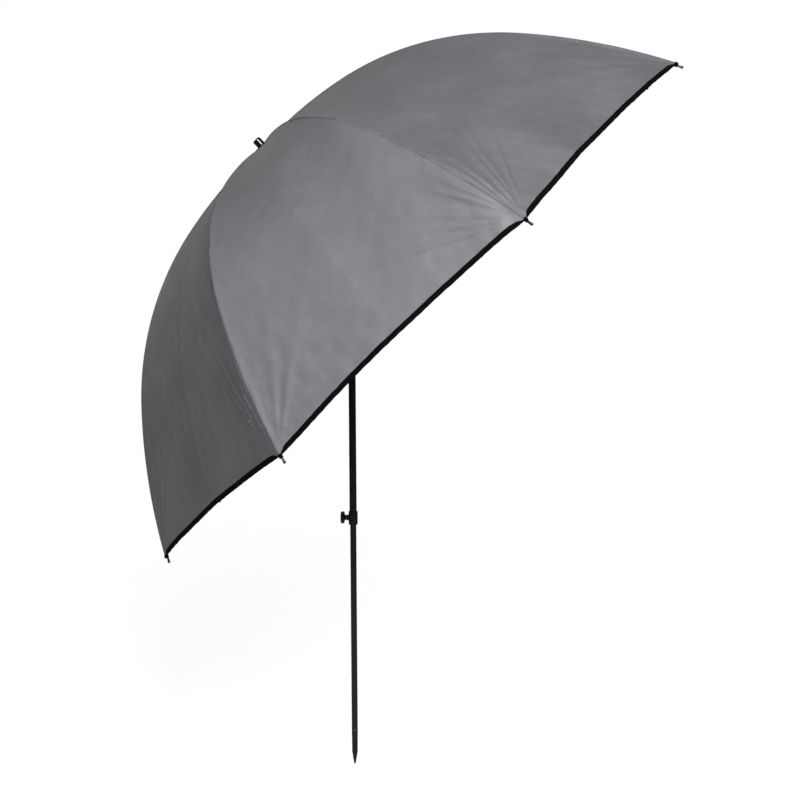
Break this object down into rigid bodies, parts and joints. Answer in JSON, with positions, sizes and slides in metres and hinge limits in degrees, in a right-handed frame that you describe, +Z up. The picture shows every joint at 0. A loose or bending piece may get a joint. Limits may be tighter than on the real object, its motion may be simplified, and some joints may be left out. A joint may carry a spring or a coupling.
{
  "type": "umbrella",
  "caption": "Large tilting umbrella on a two-part pole with a ground spike: grey cloth dome on sprung ribs, sliding runner, riveted tilt knuckle and a height clamp.",
  "frame": {"origin": "on the pole's axis at the lower end of the ground spike's parallel part, where its point begins", "axes": "+Z up along the pole; the crown leans towards -X; the tilt pin runs along Y"},
  "size_m": [1.5092, 1.9674, 2.2164],
  "materials": {
    "pole_paint": "satin",
    "black_nylon": "satin",
    "gloss_black": "gloss",
    "zinc_steel": "satin",
    "brass": "satin",
    "white_acetal": "satin",
    "grey_cloth": "matte",
    "black_cloth": "matte",
    "black_fibreglass": "satin",
    "stretcher_steel": "satin"
  },
  "bodies": {
    "ground_pole": {"ground_spike": "black_nylon", "lower_pole": "pole_paint", "spike_rivet": "zinc_steel"},
    "guide_bush": {"pole_bush": "white_acetal"},
    "upper_pole": {"upper_pole": "pole_paint", "height_collar": "black_nylon", "collar_insert": "brass", "tilt_fork": "black_nylon", "fork_rivet": "zinc_steel", "tilt_pin": "zinc_steel", "friction_washers": "white_acetal"},
    "clamp_pad": {"clamp_pad": "white_acetal"},
    "clamp_screw": {"clamp_stud": "zinc_steel", "clamp_knob": "black_nylon"},
    "head": {"tilt_tongue": "black_nylon", "tongue_rivet": "zinc_steel", "head_shaft": "pole_paint", "crown_hub": "black_nylon", "hub_wire": "zinc_steel", "hub_rivet": "zinc_steel", "crown_patch": "black_cloth", "crown_cap": "gloss_black", "catch_spring": "zinc_steel", "canopy": "grey_cloth", "hem_binding": "black_cloth"},
    "runner": {"runner": "black_nylon", "runner_wire": "zinc_steel"},
    "rib_1": {"rib_1": "black_fibreglass", "rib_tip_1": "gloss_black", "rib_bracket_1": "black_nylon"},
    "rib_2": {"rib_2": "black_fibreglass", "rib_tip_2": "gloss_black", "rib_bracket_2": "black_nylon"},
    "rib_3": {"rib_3": "black_fibreglass", "rib_tip_3": "gloss_black", "rib_bracket_3": "black_nylon"},
    "rib_4": {"rib_4": "black_fibreglass", "rib_tip_4": "gloss_black", "rib_bracket_4": "black_nylon"},
    "rib_5": {"rib_5": "black_fibreglass", "rib_tip_5": "gloss_black", "rib_bracket_5": "black_nylon"},
    "rib_6": {"rib_6": "black_fibreglass", "rib_tip_6": "gloss_black", "rib_bracket_6": "black_nylon"},
    "rib_7": {"rib_7": "black_fibreglass", "rib_tip_7": "gloss_black", "rib_bracket_7": "black_nylon"},
    "rib_8": {"rib_8": "black_fibreglass", "rib_tip_8": "gloss_black", "rib_bracket_8": "black_nylon"},
    "stretcher_1": {"stretcher_1": "stretcher_steel"},
    "stretcher_2": {"stretcher_2": "stretcher_steel"},
    "stretcher_3": {"stretcher_3": "stretcher_steel"},
    "stretcher_4": {"stretcher_4": "stretcher_steel"},
    "stretcher_5": {"stretcher_5": "stretcher_steel"},
    "stretcher_6": {"stretcher_6": "stretcher_steel"},
    "stretcher_7": {"stretcher_7": "stretcher_steel"},
    "stretcher_8": {"stretcher_8": "stretcher_steel"}
  },
  "joints": [
    {"name": "pole_swivel", "type": "hinge", "parent": "ground_pole", "child": "guide_bush", "pos_m": [0, 0, 0.9], "axis": [0, 0, 1], "continuous": true},
    {"name": "height_slide", "type": "slide", "parent": "guide_bush", "child": "upper_pole", "axis": [0, 0, 1], "range_m": [-0.6, 0.1]},
    {"name": "clamp_feed", "type": "slide", "parent": "upper_pole", "child": "clamp_pad", "axis": [-1, 0, 0], "range_m": [0, 0.00187]},
    {"name": "clamp_turn", "type": "hinge", "parent": "clamp_pad", "child": "clamp_screw", "pos_m": [-0.02, 0, 0.744], "axis": [-1, 0, 0], "range_deg": [0, 540.1]},
    {"name": "head_tilt", "type": "hinge", "parent": "upper_pole", "child": "head", "pos_m": [0, 0, 1.605], "axis": [0, 1, 0], "range_deg": [0, 44]},
    {"name": "runner_slide", "type": "slide", "parent": "head", "child": "runner", "axis": [0.6947, 0, -0.7193], "range_m": [0, 0.1744], "deforming": ["catch_spring"]},
    {"name": "rib_1_fold", "type": "hinge", "parent": "head", "child": "rib_1", "pos_m": [-0.24846, 0.00689, 1.88622], "axis": [-0.2753, 0.9239, -0.2658], "range_deg": [0, 14.3]},
    {"name": "rib_2_fold", "type": "hinge", "parent": "head", "child": "rib_2", "pos_m": [-0.25546, 0.01663, 1.87946], "axis": [-0.6646, 0.3827, -0.6418], "range_deg": [0, 14.3]},
    {"name": "rib_3_fold", "type": "hinge", "parent": "head", "child": "rib_3", "pos_m": [-0.26537, 0.01663, 1.86989], "axis": [-0.6646, -0.3827, -0.6418], "range_deg": [0, 14.3]},
    {"name": "rib_4_fold", "type": "hinge", "parent": "head", "child": "rib_4", "pos_m": [-0.27238, 0.00689, 1.86312], "axis": [-0.2753, -0.9239, -0.2658], "range_deg": [0, 14.3]},
    {"name": "rib_5_fold", "type": "hinge", "parent": "head", "child": "rib_5", "pos_m": [-0.27238, -0.00689, 1.86312], "axis": [0.2753, -0.9239, 0.2658], "range_deg": [0, 14.3]},
    {"name": "rib_6_fold", "type": "hinge", "parent": "head", "child": "rib_6", "pos_m": [-0.26537, -0.01663, 1.86989], "axis": [0.6646, -0.3827, 0.6418], "range_deg": [0, 14.3]},
    {"name": "rib_7_fold", "type": "hinge", "parent": "head", "child": "rib_7", "pos_m": [-0.25546, -0.01663, 1.87946], "axis": [0.6646, 0.3827, 0.6418], "range_deg": [0, 14.3]},
    {"name": "rib_8_fold", "type": "hinge", "parent": "head", "child": "rib_8", "pos_m": [-0.24846, -0.00689, 1.88622], "axis": [0.2753, 0.9239, 0.2658], "range_deg": [0, 14.3]},
    {"name": "stretcher_1_fold", "type": "hinge", "parent": "runner", "child": "stretcher_1", "pos_m": [-0.15815, 0.00689, 1.79271], "axis": [-0.2753, 0.9239, -0.2658], "range_deg": [-14.2, 0]},
    {"name": "stretcher_2_fold", "type": "hinge", "parent": "runner", "child": "stretcher_2", "pos_m": [-0.16516, 0.01663, 1.78594], "axis": [-0.6646, 0.3827, -0.6418], "range_deg": [-14.2, 0]},
    {"name": "stretcher_3_fold", "type": "hinge", "parent": "runner", "child": "stretcher_3", "pos_m": [-0.17507, 0.01663, 1.77637], "axis": [-0.6646, -0.3827, -0.6418], "range_deg": [-14.2, 0]},
    {"name": "stretcher_4_fold", "type": "hinge", "parent": "runner", "child": "stretcher_4", "pos_m": [-0.18208, 0.00689, 1.76961], "axis": [-0.2753, -0.9239, -0.2658], "range_deg": [-14.2, 0]},
    {"name": "stretcher_5_fold", "type": "hinge", "parent": "runner", "child": "stretcher_5", "pos_m": [-0.18208, -0.00689, 1.76961], "axis": [0.2753, -0.9239, 0.2658], "range_deg": [-14.2, 0]},
    {"name": "stretcher_6_fold", "type": "hinge", "parent": "runner", "child": "stretcher_6", "pos_m": [-0.17507, -0.01663, 1.77637], "axis": [0.6646, -0.3827, 0.6418], "range_deg": [-14.2, 0]},
    {"name": "stretcher_7_fold", "type": "hinge", "parent": "runner", "child": "stretcher_7", "pos_m": [-0.16516, -0.01663, 1.78594], "axis": [0.6646, 0.3827, 0.6418], "range_deg": [-14.2, 0]},
    {"name": "stretcher_8_fold", "type": "hinge", "parent": "runner", "child": "stretcher_8", "pos_m": [-0.15815, -0.00689, 1.79271], "axis": [0.2753, 0.9239, 0.2658], "range_deg": [-14.2, 0]}
  ],
  "couplings": [
    {"joint": "clamp_turn", "follows": "clamp_feed", "rad_per_m": 5026.5},
    {"joint": "rib_1_fold", "follows": "runner_slide", "rad_per_m": 1.4146},
    {"joint": "rib_2_fold", "follows": "runner_slide", "rad_per_m": 1.4146},
    {"joint": "rib_3_fold", "follows": "runner_slide", "rad_per_m": 1.4146},
    {"joint": "rib_4_fold", "follows": "runner_slide", "rad_per_m": 1.4146},
    {"joint": "rib_5_fold", "follows": "runner_slide", "rad_per_m": 1.4146},
    {"joint": "rib_6_fold", "follows": "runner_slide", "rad_per_m": 1.4146},
    {"joint": "rib_7_fold", "follows": "runner_slide", "rad_per_m": 1.4146},
    {"joint": "rib_8_fold", "follows": "runner_slide", "rad_per_m": 1.4146},
    {"joint": "stretcher_1_fold", "follows": "runner_slide", "rad_per_m": -1.411},
    {"joint": "stretcher_2_fold", "follows": "runner_slide", "rad_per_m": -1.411},
    {"joint": "stretcher_3_fold", "follows": "runner_slide", "rad_per_m": -1.411},
    {"joint": "stretcher_4_fold", "follows": "runner_slide", "rad_per_m": -1.411},
    {"joint": "stretcher_5_fold", "follows": "runner_slide", "rad_per_m": -1.411},
    {"joint": "stretcher_6_fold", "follows": "runner_slide", "rad_per_m": -1.411},
    {"joint": "stretcher_7_fold", "follows": "runner_slide", "rad_per_m": -1.411},
    {"joint": "stretcher_8_fold", "follows": "runner_slide", "rad_per_m": -1.411}
  ]
}
